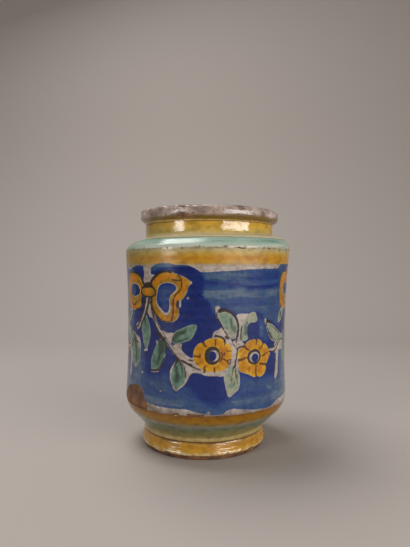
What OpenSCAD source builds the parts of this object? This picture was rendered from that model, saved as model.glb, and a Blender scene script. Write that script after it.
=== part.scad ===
// Albarello: a wheel-thrown drug jar of earthenware under coloured tin glaze.
// Millimetres, +Z up, with the origin on the jar's axis at the ground.
// Radii and heights are those of the fired clay. Every coat of glaze lies on top of them.

/* [Foot] */
// Radius of the foot where it is fullest
foot_r = 49.6; // [42:0.1:56]
// Height of the foot, from the ground to the incised line
foot_h = 12.8; // [9:0.1:20]
// How much the foot draws in at the ground and at the incised line
foot_draw = 0.8; // [0.2:0.1:2]
// Width of the ring that the jar stands on
ring_w = 10; // [6:0.5:16]
// Depth of the turned hollow under the base
base_hollow = 3; // [1:0.5:6]
// Depth of the incised line above the foot
line_d = 0.9; // [0.3:0.1:1.5]
// Width of the incised line
line_w = 1.6; // [1:0.1:3]
// Width of the small ridge above the incised line
ridge_w = 2; // [1:0.1:4]

/* [Heel] */
// How much the hollow between the ridge and the heel draws in from the ridge
heel_root_draw = 0.3; // [0.1:0.1:3]
// Height of the heel, from the ridge to the corner where it meets the wall
heel_h = 18.7; // [12:0.1:30]
// Rounding of the corner between heel and wall
heel_round = 16; // [4:0.5:20]

/* [Wall] */
// Radius of the wall at the shoulder, where the jar is widest
wall_r = 66.75; // [60:0.05:74]
// How much the wall draws in at its waist
waist_draw = 2.6; // [0.5:0.1:8]
// How much the wall draws in at the heel
heel_draw = 1.35; // [0:0.05:8]
// Height of the wall, from the heel's corner to the shoulder's
wall_h = 124.5; // [100:0.5:150]
// Height of the waist above the heel's corner
waist_h = 50; // [30:1:80]

/* [Shoulder] */
// Height of the sloping shoulder
shoulder_h = 8.1; // [4:0.1:16]
// Rounding of the corner between wall and shoulder
shoulder_round = 5; // [2:0.5:10]
// How far in from the wall the shoulder turns flatter
turn_in = 6.3; // [4:0.1:9]
// How far that turn lies below the neck's root
turn_drop = 2.3; // [1:0.1:3.5]
// Rounding of that turn
turn_round = 8; // [2:0.5:12]

/* [Neck and lip] */
// Radius of the neck at its root and under the lip
neck_r = 51.9; // [46:0.1:56]
// How much the neck draws in between
neck_draw = 0.4; // [0.1:0.1:2]
// Height of the neck, from the shoulder to the lip
neck_h = 11.4; // [9:0.1:24]
// Height of the neck's narrowest place above its root
neck_waist_h = 7; // [4:0.5:8]
// Rounding where the neck stands on the shoulder
neck_round = 3; // [1:0.5:5]
// How far the lip stands out from the neck
lip_out = 4.3; // [2:0.1:8]
// Height over which the lip flares out of the neck
flare_h = 3; // [1.5:0.1:6]
// Height of the lip's edge above the flare
lip_h = 7; // [5:0.1:12]
// How much the lip leans in towards its top
lip_lean = 0.6; // [0:0.1:2]
// Rounding of the lip's top
lip_round = 4; // [1:0.5:4.5]

/* [Inside] */
// Thickness of the clay in the wall, heel and shoulder
wall_t = 6; // [4:0.5:8]
// Thickness of the clay in the neck
neck_t = 5.4; // [4:0.1:7]
// Thickness of the floor
floor_t = 8; // [5:0.5:12]
// How far inside the foot the flat part of the floor ends
floor_inset = 8.8; // [6:0.1:16]
// Rounding of the floor's edge
floor_round = 8; // [3:0.5:12]

/* [Glaze] */
// Thickness of the fired glaze
glaze_t = 0.5; // [0.3:0.05:0.8]
// Height of the bare clay at the bottom of the foot
bare_h = 4; // [2:0.5:8]
// Height of the yellow band at the bottom of the wall
lower_band_h = 7; // [4:0.5:12]
// How far that band reaches up the wall, above the heel's corner
lower_band_rise = 3; // [1:0.5:8]
// Height of the yellow band at the top of the wall
upper_band_h = 14; // [8:0.5:24]
// How far below the shoulder's corner that band begins
upper_band_drop = 1.6; // [0:0.2:4]

/* [Hidden] */

turn_faces = 120;
arc_steps = 6;
wall_steps = 10;

// Heights of the corners, from the ground up
heel_z = foot_h + line_w / 2 + ridge_w;
wall_z = heel_z + heel_h;
shoulder_z = wall_z + wall_h;
neck_z = shoulder_z + shoulder_h;
flare_z = neck_z + neck_h;
edge_z = flare_z + flare_h;
top_z = edge_z + lip_h;
floor_z = base_hollow + floor_t;

// Heights of the edges between the coats
band_top_z = shoulder_z - upper_band_drop;
field_top_z = band_top_z - upper_band_h;
field_low_z = wall_z + lower_band_rise;
band_low_z = field_low_z - lower_band_h;

// Radii that follow from the sizes above
foot_end_r = foot_r - foot_draw;
heel_root_r = foot_end_r - heel_root_draw;
floor_r = foot_end_r - floor_inset;
waist_r = wall_r - waist_draw;
wall_low_r = wall_r - heel_draw;
lip_r = neck_r + lip_out;
mouth_r = neck_r - neck_t;

// The crest of the lip, where the outside and the inside meet
crest_r = (mouth_r + lip_r - lip_lean) / 2;

// Where the inside turns from the wall to the shoulder, one wall's thickness inside the slope
slope = shoulder_h / (wall_r - neck_r);
inner_top_r = wall_r - wall_t;
inner_top_z = shoulder_z + wall_t * (slope - sqrt(1 + slope * slope));
inner_neck_z = inner_top_z + (inner_top_r - mouth_r) * slope;

function unit(v) = v / norm(v);
function place(corner) = [corner.x, corner.y];

// Half of an edge is free for a rounding where the other end is rounded too, and otherwise all of it
function room(corner, other) = norm(place(other) - place(corner)) * (other.z > 0 ? 0.5 : 1);

// The arc that rounds the corner between two others, or the corner itself if it is sharp
function rounded(before, corner, after) =
    corner.z == 0 ? [place(corner)] :
    let(
        back = unit(place(before) - place(corner)),
        ahead = unit(place(after) - place(corner)),
        half = acos(back * ahead) / 2,
        reach = min(corner.z / tan(half), room(corner, before), room(corner, after)),
        radius = reach * tan(half),
        centre = place(corner) + unit(back + ahead) * radius / sin(half),
        first = place(corner) + back * reach - centre,
        last = place(corner) + ahead * reach - centre,
        from = atan2(first.y, first.x),
        swing = atan2(first.x * last.y - first.y * last.x, first * last)
    )
    [
        for (i = [0 : arc_steps])
            let(angle = from + swing * i / arc_steps)
            centre + radius * [cos(angle), sin(angle)]
    ];

// A path through corners given as [radius, height, rounding]
function path(corners) =
    let(last = len(corners) - 1)
    [
        for (i = [0 : last])
            each (i == 0 || i == last)
                ? [place(corners[i])]
                : rounded(corners[i - 1], corners[i], corners[i + 1])
    ];

// The same path moved sideways, to its right-hand side
function side(from, to) = let(d = unit(to - from)) [d.y, -d.x];
function beside(points, t) =
    let(last = len(points) - 1)
    [
        for (i = [0 : last])
            let(
                a = side(points[max(i - 1, 0)], points[max(i, 1)]),
                b = side(points[min(i, last - 1)], points[min(i + 1, last)])
            )
            points[i] + (a + b) * t / (1 + a * b)
    ];

function reversed(list) = [for (i = [len(list) - 1 : -1 : 0]) list[i]];

// The wall's radius, which draws in to the waist along two parabolas
function radius_at(z) =
    let(above = z - wall_z - waist_h)
    above < 0
        ? waist_r + (wall_low_r - waist_r) * pow(above / waist_h, 2)
        : waist_r + (wall_r - waist_r) * pow(above / (wall_h - waist_h), 2);

// The outside of the clay, from the ground to the lip's crest
outer_path = path(concat(
    [
        [foot_end_r - ring_w, 0, 0],
        [foot_end_r, 0, foot_draw],
        [foot_r, foot_h / 2, foot_h],
        [foot_end_r, foot_h - line_w / 2, 0],
        [foot_end_r - line_d, foot_h, 0],
        [foot_end_r, foot_h + line_w / 2, ridge_w / 2],
        [foot_end_r, heel_z, ridge_w / 2],
        [heel_root_r, heel_z + ridge_w / 2, ridge_w / 2]
    ],
    [
        for (i = [0 : wall_steps])
            let(z = wall_z + wall_h * i / wall_steps)
            [radius_at(z), z, i == 0 ? heel_round : i == wall_steps ? shoulder_round : 0]
    ],
    [
        [wall_r - turn_in, neck_z - turn_drop, turn_round],
        [neck_r, neck_z, neck_round],
        [neck_r - neck_draw, neck_z + neck_waist_h, neck_h],
        [neck_r, flare_z, flare_h / 2],
        [lip_r, edge_z, flare_h],
        [lip_r - lip_lean, top_z, lip_round],
        [crest_r, top_z, 0]
    ]
));

// The inside of the clay, from the lip's crest to the middle of the floor
inner_path = path(concat(
    [
        [crest_r, top_z, 0],
        [mouth_r, top_z, lip_round],
        [mouth_r, inner_neck_z, neck_round + neck_t / 2]
    ],
    [
        for (i = [wall_steps : -1 : 0])
            let(
                z = wall_z + (inner_top_z - wall_z) * i / wall_steps,
                r = radius_at(wall_z + wall_h * i / wall_steps) - wall_t
            )
            [r, z, i == 0 ? heel_round : i == wall_steps ? shoulder_round - wall_t / 2 : 0]
    ],
    [
        [floor_r, floor_z, floor_round],
        [0, floor_z, 0]
    ]
));

// The hollow turned under the base
base_path = [[0, base_hollow], [foot_end_r - ring_w - base_hollow, base_hollow]];

// Glaze over the outside or the inside, between two heights
module coat(along, low_z, high_z) {
    intersection() {
        polygon(concat(along, reversed(beside(along, glaze_t))));
        translate([0, low_z]) square([lip_r + wall_r, high_z - low_z]);
    }
}

module turned() {
    rotate_extrude($fn = turn_faces) children();
}

module clay_body() {
    color("#8a5a3c") turned() polygon(concat(base_path, outer_path, inner_path));
}

module lining_glaze() {
    color("#d8cdb4") turned() coat(inner_path, floor_z, edge_z);
}

module rim_glaze() {
    color("#b9aaa0") turned() {
        coat(outer_path, flare_z, top_z + glaze_t);
        coat(inner_path, edge_z, top_z + glaze_t);
    }
}

module neck_glaze() {
    color("#c79a33") turned() coat(outer_path, neck_z, flare_z);
}

module shoulder_glaze() {
    color("#9dbcae") turned() coat(outer_path, band_top_z, neck_z);
}

module upper_band_glaze() {
    color("#c48a26") turned() coat(outer_path, field_top_z, band_top_z);
}

module field_glaze() {
    color("#2f4a94") turned() coat(outer_path, field_low_z, field_top_z);
}

module lower_band_glaze() {
    color("#c8841f") turned() coat(outer_path, band_low_z, field_low_z);
}

module heel_glaze() {
    color("#8a9078") turned() coat(outer_path, foot_h, band_low_z);
}

module foot_glaze() {
    color("#c08a2e") turned() coat(outer_path, bare_h, foot_h);
}

clay_body();
lining_glaze();
rim_glaze();
neck_glaze();
shoulder_glaze();
upper_band_glaze();
field_glaze();
lower_band_glaze();
heel_glaze();
foot_glaze();
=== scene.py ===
import math
from collections import defaultdict

import bmesh
import bpy
import numpy as np
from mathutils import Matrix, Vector
from mathutils.geometry import interpolate_bezier


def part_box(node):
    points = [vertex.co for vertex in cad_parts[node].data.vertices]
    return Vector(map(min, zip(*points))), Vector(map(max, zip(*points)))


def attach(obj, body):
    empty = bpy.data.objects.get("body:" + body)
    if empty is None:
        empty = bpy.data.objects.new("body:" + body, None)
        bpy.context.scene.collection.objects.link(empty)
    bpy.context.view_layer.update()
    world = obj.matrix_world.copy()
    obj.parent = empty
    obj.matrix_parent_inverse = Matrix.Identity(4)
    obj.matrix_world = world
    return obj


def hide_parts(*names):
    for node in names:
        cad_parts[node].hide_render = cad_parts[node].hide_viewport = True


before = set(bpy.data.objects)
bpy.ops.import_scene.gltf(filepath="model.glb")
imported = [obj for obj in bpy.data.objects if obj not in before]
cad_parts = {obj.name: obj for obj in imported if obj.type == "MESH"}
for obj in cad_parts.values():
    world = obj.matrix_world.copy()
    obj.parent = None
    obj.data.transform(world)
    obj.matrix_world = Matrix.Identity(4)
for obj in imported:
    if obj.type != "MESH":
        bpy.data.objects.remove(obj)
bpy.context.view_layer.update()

# The body of the jar: red-brown earthenware, thrown on the wheel in one piece and turned at the foot.
# Thrown clay is never quite true: the neck leans and tips, the wall is a little out of round, and the
# lip has worn and chipped. The clay itself shows only under the foot and where glaze has come away.
MM = 0.001
glaze_t = 0.5

def heights(node):
    """A node's lowest and highest level in millimetres"""
    low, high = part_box(node)
    return low[2] / MM, high[2] / MM

foot_z = heights("foot_glaze")[1]
neck_z, flare_z = heights("neck_glaze")
top_z = heights("rim_glaze")[1] - glaze_t
floor_z = heights("lining_glaze")[0]

# Corners of the clay in millimetres: radius, height, and how far along each side the corner is rounded
base_corners = [(0, 3, 0), (35.8, 3, 0.8), (38.8, 0, 0.8)]
outer_corners = [
    (48.8, 0, 0.9), (50.1, 3.2, 2.4), (48.2, foot_z - 0.8, 0.4), (47.6, foot_z, 0.3),
    (48.8, foot_z + 0.8, 0.8), (48.8, foot_z + 2.8, 0.8), (48.5, foot_z + 3.8, 0.6),
    (65.4, 34.3, 7.0), (62.34, 95.6, 50.0), (66.75, 158.8, 2.4),
    (60.45, 164.6, 2.2), (51.9, neck_z, 2.0), (51.4, neck_z + 6.5, 4.0), (51.9, flare_z, 0.8),
    (55.8, flare_z + 2.7, 1.2), (55.8, flare_z + 7.4, 1.6), (55.0, top_z, 2.8),
]
inner_corners = [
    (46.5, top_z, 4.0), (46.5, 163, 3.4), (60.75, 155.2, 3.2), (56.4, 93, 50.0),
    (59.4, 34.3, 5.4), (40, floor_z, 3.8), (0, floor_z, 0),
]
line_step = 0.1

def smooth_line(corners):
    """Points at even steps along straight stretches and rounded corners"""
    line = [Vector(corners[0][:2])]
    for before, corner, after in zip(corners, corners[1:], corners[2:]):
        at = Vector(corner[:2])
        start = at + (Vector(before[:2]) - at).normalized() * corner[2]
        end = at + (Vector(after[:2]) - at).normalized() * corner[2]
        line += interpolate_bezier(start, start.lerp(at, 0.6), end.lerp(at, 0.6), end, 24)
    points = np.array([tuple(p) for p in line] + [corners[-1][:2]])
    run = np.r_[0, np.cumsum(np.linalg.norm(np.diff(points, axis=0), axis=1))]
    even = np.linspace(0, run[-1], int(run[-1] / line_step))
    return np.stack([np.interp(even, run, x) for x in points.T], 1)

# The clay's whole outline, and the place on it where the lip is highest, nearest the middle of its top
clay_line = smooth_line(base_corners + outer_corners + inner_corners)
lip_middle_r, lip_knock_r, lip_edge_r = 51, 53, 56
crest = int(np.argmax(clay_line[:, 1] - 0.001 * abs(clay_line[:, 0] - lip_middle_r)))

# How the thrown clay strays, in millimetres: out of round in two lobes and in three, the depth of the
# thrower's rings, and the sideways lean of each level. Its tip is a slope from left to right
oval_by, lobed_by, rings_by = 0.4, 0.16, 0.018
lean_z = [0, 13, 21, 34, 90, 150, 159, 168, 189]
lean_x = [-2.2, -2.2, -1.2, -0.4, 0.0, 1.0, 1.4, 2.4, 2.6]
tip_z = [100, 157, 163, 168, 178, 189]
tip_slope = [0.0, 0.012, 0.022, 0.032, -0.012, -0.014]

# Knocks on the top of the lip: angle from the front in degrees, radius, half width and depth in millimetres
lip_knocks = [
    (-11, 54, 5.5, 0.4), (6, 53, 4.5, 0.3), (25, 55.5, 2.8, 0.9), (-33, 54.5, 5.0, 0.4),
    (-22, 55.5, 3.0, 0.7), (-58, 55, 3.6, 1.0), (38, 50, 5.0, 0.6), (73, 55, 3.4, 0.9),
    (98, 49, 3.0, 0.6), (121, 53.5, 6.5, 1.3), (164, 49.5, 4.0, 0.7), (-151, 54.5, 5.0, 1.1),
    (-128, 55.5, 2.4, 0.8), (-103, 52, 4.0, 0.6),
]

# Small pits strewn over it in the same way, each at the golden angle from the last
lip_pits = [
    (137.5 * i, 48.5 + 7 * (0.618 * i % 1), 0.8 + 0.4 * (i % 3), 0.2 + 0.1 * (i % 4)) for i in range(56)]

# Knocks fade out down to one level and pits to another
knock_low_z, pit_low_z, wear_top_z = 184, 187, 188.5

# Bites out of the lip's lower edge: angle, half width and depth
lip_bites = [
    (-19, 7.0, 2.0), (24, 4.0, 0.5), (-50, 4.5, 0.5), (95, 5.5, 1.1), (172, 7.0, 1.5), (-118, 4.5, 0.9)]

def polar(points):
    """How far points are round from the front, in radians, and out from the axis"""
    return np.arctan2(points[:, 0], -points[:, 1]), np.hypot(points[:, 0], points[:, 1])

def dent(angle, at, half, reach, across=0.0):
    """1 near an angle in degrees and 0 beyond half a width, in millimetres at a radius of reach"""
    off = (angle - math.radians(at) + math.pi) % (2 * math.pi) - math.pi
    return np.exp(-((off * reach / half) ** 2 + across ** 2) ** 2)

def lip_wear(angle, height, radius):
    """How deep the lip is knocked away, in millimetres, fading out below its top"""
    rubbed = 0.16 + 0.16 * np.sin(7 * angle + 1.3) * np.sin(4 * angle)
    depth = rubbed * np.clip((height - knock_low_z) / (wear_top_z - knock_low_z), 0, 1) ** 2
    for rows, low in ((lip_knocks, knock_low_z), (lip_pits, pit_low_z)):
        fade = np.clip((height - low) / (wear_top_z - low), 0, 1) ** 2
        for at, middle, half, most in rows:
            across = (radius - middle) / (0.75 * half)
            depth = depth + most * dent(angle, at, half, lip_knock_r, across) * fade
    return depth

def bitten(angle):
    """How far up the bites reach into the lip's lower edge, in millimetres"""
    return sum(most * dent(angle, at, half, lip_edge_r) for at, half, most in lip_bites)

def thrown(points):
    """Moves points of a true jar, in millimetres, to where the potter's hand left them"""
    angle, radius = polar(points)
    z = points[:, 2]
    astray = oval_by * np.cos(2 * angle + 2.6) + lobed_by * np.cos(3 * angle + z / 60)
    radius = radius + astray * np.minimum(radius / 40, 1)
    radius = radius + rings_by * np.sin(z * 1.05 + angle) * np.clip((z - 34) / 10, 0, 1)
    worn = lip_wear(angle, z, radius)
    under_lip = np.clip((radius - 52) / 2.5, 0, 1) * np.clip((flare_z + 7.5 - z) / 4, 0, 1)
    z = z + under_lip * (z > flare_z - 0.1) * bitten(angle)
    radius = radius - 0.45 * worn * np.sign(radius - lip_middle_r)
    x, y = radius * np.sin(angle), -radius * np.cos(angle)
    lean = sum(np.interp(z + step, lean_z, lean_x) for step in (-4, -2, 0, 2, 4)) / 5
    slope = sum(np.interp(z + step, tip_z, tip_slope) for step in (-2, 0, 2)) / 3
    return np.stack([x + lean, y, z - worn + slope * x], 1)

sectors = 12

def turned(name, outline, steps, shape=thrown):
    """Spins an outline of (radius, height) into one sector, and that sector round the jar. An outline that
    starts off the axis closes on itself. Gives the piece, and its points before they were shaped"""
    bm = bmesh.new()
    verts = [bm.verts.new((0, r * MM, z * MM)) for r, z in outline]
    ring = outline[0][0] > 0
    edges = [bm.edges.new(pair) for pair in zip(verts, verts[1:] + verts[:1] * ring)]
    bmesh.ops.spin(bm, geom=verts + edges, cent=(0, 0, 0), axis=(0, 0, 1), dvec=(0, 0, 0),
                   angle=2 * math.pi / sectors, steps=steps // sectors,
                   use_merge=False, use_duplicate=False)
    bmesh.ops.spin(bm, geom=bm.verts[:] + bm.edges[:] + bm.faces[:], cent=(0, 0, 0), axis=(0, 0, 1),
                   dvec=(0, 0, 0), angle=2 * math.pi * (1 - 1 / sectors), steps=sectors - 1,
                   use_duplicate=True)
    bmesh.ops.remove_doubles(bm, verts=bm.verts, dist=0.001 * MM)
    bmesh.ops.recalc_face_normals(bm, faces=bm.faces)
    mesh = bpy.data.meshes.new(name)
    bm.to_mesh(mesh)
    bm.free()
    points = np.empty(len(mesh.vertices) * 3)
    mesh.vertices.foreach_get("co", points)
    true = points.reshape(-1, 3) / MM
    mesh.vertices.foreach_set("co", (shape(true) * MM).ravel())
    mesh.shade_smooth()
    mesh.set_sharp_from_angle(angle=math.radians(50))
    piece = bpy.data.objects.new(name, mesh)
    bpy.context.collection.objects.link(piece)
    return piece, true

def linear(colour):
    """A hex colour as the linear numbers that a shader takes"""
    parts = [int(colour[i:i + 2], 16) / 255 for i in (1, 3, 5)]
    return [c / 12.92 if c <= 0.04045 else ((c + 0.055) / 1.055) ** 2.4 for c in parts] + [1]

def add(tree, kind, inputs, out=0, stops=(), **settings):
    """Adds a node with its settings and a ramp's stops, and gives one of its outputs. Each input is set to a
    value or linked to another node's output"""
    node = tree.nodes.new("ShaderNode" + kind)
    for key, value in settings.items():
        setattr(node, key, value)
    for _ in stops[2:]:
        node.color_ramp.elements.new(1)
    for place, (at, colour) in enumerate(stops):
        node.color_ramp.elements[place].position = at
        node.color_ramp.elements[place].color = linear(colour)
    for key, value in inputs.items():
        if isinstance(value, bpy.types.NodeSocket):
            tree.links.new(value, node.inputs[key])
        else:
            node.inputs[key].default_value = linear(value) if isinstance(value, str) else value
    return node.outputs[out]

# Fired earthenware: matt, grainy and porous, darker where handling and damp have soaked in
clay_stops = [(0.45, "#40281a"), (0.66, "#60412b"), (0.92, "#8a5c30")]
clay_cloud, clay_grit = 9, 0.9

def clay_look(tree):
    """The colour and bump height of bare clay"""
    place = add(tree, "TexCoord", {}, "Object")
    cloud = add(tree, "TexNoise", {"Vector": place, "Scale": 1 / (clay_cloud * MM), "Detail": 4.0})
    grit = add(tree, "TexNoise", {"Vector": place, "Scale": 1 / (clay_grit * MM), "Detail": 2.0})
    tone = add(tree, "Math", {0: grit, 1: 0.35, 2: cloud}, operation="MULTIPLY_ADD")
    return add(tree, "ValToRGB", {"Fac": tone}, stops=clay_stops), tone

fired_clay = bpy.data.materials.new("bare fired earthenware")
fired_clay.use_nodes = True
tree = fired_clay.node_tree
clay_colour, clay_height = clay_look(tree)
clay_bump = add(tree, "Bump", {"Height": clay_height, "Strength": 0.5, "Distance": 0.4 * MM})
shader = tree.nodes["Principled BSDF"]
shader.inputs["Roughness"].default_value = 0.85
tree.links.new(clay_colour, shader.inputs["Base Color"])
tree.links.new(clay_bump, shader.inputs["Normal"])

clay_body, _ = turned("clay_body_thrown", clay_line[::16], steps=240)
clay_body.data.materials.append(fired_clay)
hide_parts("clay_body")
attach(clay_body, "root")

# The lining: a plain cream tin glaze that was poured in, swirled round and poured out again.
# It shows the thrower's rings as faint lines.
lining_top_z = heights("lining_glaze")[1]
along = np.gradient(clay_line, axis=0)
outward = np.stack([along[:, 1], -along[:, 0]], 1) / np.linalg.norm(along, axis=1)[:, None]
glaze_line = clay_line + outward * glaze_t
back_line = clay_line + outward * 0.03
foot_ring_r = 45

def rising(height):
    """The place on the outside of the clay line, past the middle of the foot's ring, that is this high"""
    outside = clay_line[:crest]
    return int(np.argmax((outside[:, 1] >= height - 1e-6) & (outside[:, 0] > foot_ring_r)))

def falling(height):
    """The place on the inside of the clay line that is this high"""
    return crest + int(np.argmax(clay_line[crest:, 1] <= height + 1e-6))

def coat(name, start, end, pitch, back_pitch, steps, shape=thrown):
    """A ring of glaze on the clay line from start to end. Its points are so many millimetres apart in front
    and behind, in so many steps round the jar"""
    length = (end - start) * line_step
    front = np.linspace(start, end, max(int(length / pitch), 2)).astype(int)
    back = np.linspace(end, start, max(int(length / back_pitch), 2)).astype(int)
    return turned(name, np.r_[glaze_line[front], back_line[back]], steps, shape)

def stretched(tree, place, across, up, detail=3.0):
    """Noise drawn out to so many millimetres across and up"""
    scale = (1 / (across * MM), 1 / (across * MM), 1 / (up * MM))
    drawn_out = add(tree, "Mapping", {"Vector": place, "Scale": scale})
    return add(tree, "TexNoise", {"Vector": drawn_out, "Scale": 1.0, "Detail": detail})

speck_apart, gloss_patch = 3.2, 14

def glazed(name, colour_of, gloss=(0.07, 0.2), worn=None, ripple=0.25, ridge=(4, 4)):
    """A tin glaze: colour from its own nodes, a few iron specks, soft unevenness and a wet gloss. Gloss is
    its least and most roughness, worn draws its bare clay, ripple is how deep it is uneven and ridge how
    wide and high that is, in millimetres"""
    material = bpy.data.materials.new(name)
    material.use_nodes = True
    tree = material.node_tree
    place = add(tree, "TexCoord", {}, "Object")
    colour = colour_of(tree, place)
    cells = add(tree, "TexVoronoi", {"Vector": place, "Scale": 1 / (speck_apart * MM)})
    pick = add(tree, "SeparateColor", {"Color": cells.node.outputs["Color"]})
    size = add(tree, "MapRange", {"Value": pick, "From Min": 0.72, "To Max": 0.13})
    speck = add(tree, "Math", {0: cells, 1: size}, operation="LESS_THAN")
    thin = add(tree, "Math", {0: speck, 1: 0.55}, operation="MULTIPLY")
    colour = add(tree, "Mix", {0: thin, 6: colour, 7: "#3a2b20"}, 2, data_type="RGBA")
    patch = add(tree, "TexNoise", {"Vector": place, "Scale": 1 / (gloss_patch * MM), "Detail": 3.0})
    rough = add(tree, "MapRange", {"Value": patch, "From Min": 0.3, "From Max": 0.7,
                                   "To Min": gloss[0], "To Max": gloss[1]})
    uneven = stretched(tree, place, *ridge, 2.0)
    bump = add(tree, "Bump", {"Height": uneven, "Strength": 0.25, "Distance": ripple * MM})
    if worn:
        bare = worn(tree, place)
        clay_colour, clay_height = clay_look(tree)
        colour = add(tree, "Mix", {0: bare, 6: colour, 7: clay_colour}, 2, data_type="RGBA")
        rough = add(tree, "Mix", {0: bare, 2: rough, 3: 0.8})
        grain = add(tree, "Math", {0: clay_height, 1: bare}, operation="MULTIPLY")
        bump = add(tree, "Bump", {"Height": grain, "Strength": 0.6, "Distance": 0.4 * MM, "Normal": bump})
    shader = tree.nodes["Principled BSDF"]
    shader.inputs["IOR"].default_value = 1.52
    tree.links.new(colour, shader.inputs["Base Color"])
    tree.links.new(rough, shader.inputs["Roughness"])
    tree.links.new(bump, shader.inputs["Normal"])
    return material

# Poured tin glaze: opaque and glossy, cream in faint level rings
def cream_colour(tree, place):
    rings = stretched(tree, place, 50, 5)
    return add(tree, "ValToRGB", {"Fac": rings}, stops=[
        (0.3, "#a5977c"), (0.5, "#c0b396"), (0.7, "#cbc1a8")])

lining, _ = coat("lining_glaze_poured", falling(lining_top_z), len(clay_line) - 1,
                 pitch=1.6, back_pitch=6, steps=240)
lining.data.materials.append(glazed("poured cream tin glaze", cream_colour))
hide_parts("lining_glaze")
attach(lining, "root")

# The lip's coat: an off-white tin glaze, rubbed grey-brown by covers, cords and hands.
# Its knocked edges show the brown clay under a thin broken skin.
def wavering(tree, place, noises, most):
    """A point's height, raised by each noise by up to so many millimetres"""
    height = add(tree, "SeparateXYZ", {"Vector": place}, "Z")
    for noise in noises:
        height = add(tree, "Math", {0: noise, 1: most * MM, 2: height}, operation="MULTIPLY_ADD")
    return height

def laid_over(tree, colour, over, value, start, end, most=1.0, how="LINEAR"):
    """Another colour over a colour: none of it where a value is at start, and most of it at end"""
    share = add(tree, "MapRange", {"Value": value, "From Min": start, "From Max": end, "To Max": most},
                interpolation_type=how)
    return add(tree, "Mix", {0: share, 6: colour, 7: over}, 2, data_type="RGBA")

# Worn tin glaze: opaque, its gloss dulled, clouded grey by dirt rubbed into it, brown in its pits, painted
# shade under its roll
def lip_colour(tree, place):
    colour = add(tree, "ValToRGB", {"Fac": stretched(tree, place, 11, 7, 5.0)}, stops=[
        (0.28, "#614e44"), (0.4, "#817067"), (0.52, "#9b8b83"), (0.66, "#b6a8a1")])
    # Painted shade and painted reflection: the roll's lower part, facing down, goes dark olive-yellow for the
    # overhang's shadow with the yellow neck seen in it
    height = wavering(tree, place, [stretched(tree, place, 7, 3)], 2)
    colour = laid_over(tree, colour, "#6f5728", height, (flare_z + 5) * MM, (flare_z + 2.8) * MM)
    return laid_over(tree, colour, "#54402f", stretched(tree, place, 2.2, 1.6, 4.0), 0.58, 0.7, 0.6)

def lip_worn(tree, place):
    """Bare clay where the lip is knocked and rubbed"""
    edge = add(tree, "Attribute", {}, "Fac", attribute_name="knocked")
    rub = stretched(tree, place, 2.6, 2.0, 4.0)
    both = add(tree, "Math", {0: rub, 1: 3.0, 2: edge}, operation="MULTIPLY_ADD")
    return add(tree, "MapRange", {"Value": both, "From Min": 1.92, "From Max": 2.12})

def keep(piece, name, values):
    """Keeps a number on each of a piece's points for its material to read"""
    attribute = piece.data.attributes.new(name, "FLOAT", "POINT")
    attribute.data.foreach_set("value", values.astype(np.float32))

rim, rim_true = coat("rim_glaze_worn", rising(flare_z), falling(lining_top_z),
                     pitch=0.45, back_pitch=0.9, steps=480)
rim_angle, rim_radius = polar(rim_true)
lower_edge = rim_true[:, 2] < flare_z + 3
knocked = lip_wear(rim_angle, rim_true[:, 2], rim_radius) + 0.3 * lower_edge * bitten(rim_angle)
keep(rim, "knocked", knocked)
rim.data.materials.append(glazed("worn off-white tin glaze", lip_colour, (0.15, 0.3), lip_worn, ripple=0.6))
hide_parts("rim_glaze")
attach(rim, "root")

# The neck's coat: antimony yellow, brushed on while the jar turned on the wheel.
# It is deep where the brush left it thick, creamy where it ran thin, and has a fine brown line under the lip.
def banded(tree, place, stops, waver=0.5):
    """Colour brushed on while the jar turned. Stops are heights in millimetres, and streaks waver them"""
    low, high = stops[0][0], stops[-1][0]
    streak, drift = stretched(tree, place, 32, 1.5, 4.0), stretched(tree, place, 13, 13, 2.0)
    height = wavering(tree, place, (streak, drift), 4 * waver)
    along = add(tree, "MapRange", {"Value": height, "From Min": (low + 4 * waver) * MM,
                                   "From Max": (high + 4 * waver) * MM})
    colour = add(tree, "ValToRGB", {"Fac": along}, stops=[
        ((at - low) / (high - low), tint) for at, tint in stops])
    shade = add(tree, "ValToRGB", {"Fac": stretched(tree, place, 6, 4, 5.0)}, stops=[
        (0.3, "#c4bdb0"), (0.55, "#ffffff")])
    return add(tree, "Mix", {0: 0.8, 6: colour, 7: shade}, 2, data_type="RGBA", blend_type="MULTIPLY")

def shaded_left(tree, place, colour, from_x, to_x, most, over):
    """Painted shade on one side of the jar: a darker colour laid over, between two places across it in
    millimetres
    """
    across = add(tree, "SeparateXYZ", {"Vector": place}, "X")
    return laid_over(tree, colour, over, across, from_x * MM, to_x * MM, most, "SMOOTHSTEP")

def level_gap(tree, height, at):
    """How far a height is above or below a level in millimetres"""
    off = add(tree, "Math", {0: height, 1: at * MM}, operation="SUBTRACT")
    return add(tree, "Math", {0: off}, operation="ABSOLUTE")

def ringed(tree, place, colour, at, half, soft, ring_colour, sway=0.6):
    """A painted ring at a height in millimetres, with a wavering edge"""
    height = wavering(tree, place, [stretched(tree, place, 9, 9)], 2 * sway)
    gap = level_gap(tree, height, at + sway)
    return laid_over(tree, colour, ring_colour, gap, (half + soft) * MM, (half - soft) * MM)

# Antimony yellow in tin glaze: wet and glassy, so that the lamps stand in it as bright panes
def neck_colour(tree, place):
    colour = banded(tree, place, [
        (neck_z - 0.5, "#c8bc98"), (neck_z + 0.8, "#c2b07a"), (neck_z + 2.2, "#b09a50"),
        (neck_z + 6, "#bb983d"), (neck_z + 8.5, "#ba922e"), (flare_z, "#b0934c")])
    # Painted shade: the yellow turns olive towards the jar's left side, away from the brighter lamp
    colour = shaded_left(tree, place, colour, -15, -52, 0.55, "#7f7340")
    return ringed(tree, place, colour, flare_z - 1.5, 0.35, 0.3, "#5c4423")

neck, _ = coat("neck_glaze_banded", rising(neck_z), rising(flare_z), pitch=0.5, back_pitch=2, steps=360)
neck.data.materials.append(glazed("antimony yellow tin glaze on the neck", neck_colour, ripple=0.7))
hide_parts("neck_glaze")
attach(neck, "root")

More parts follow.
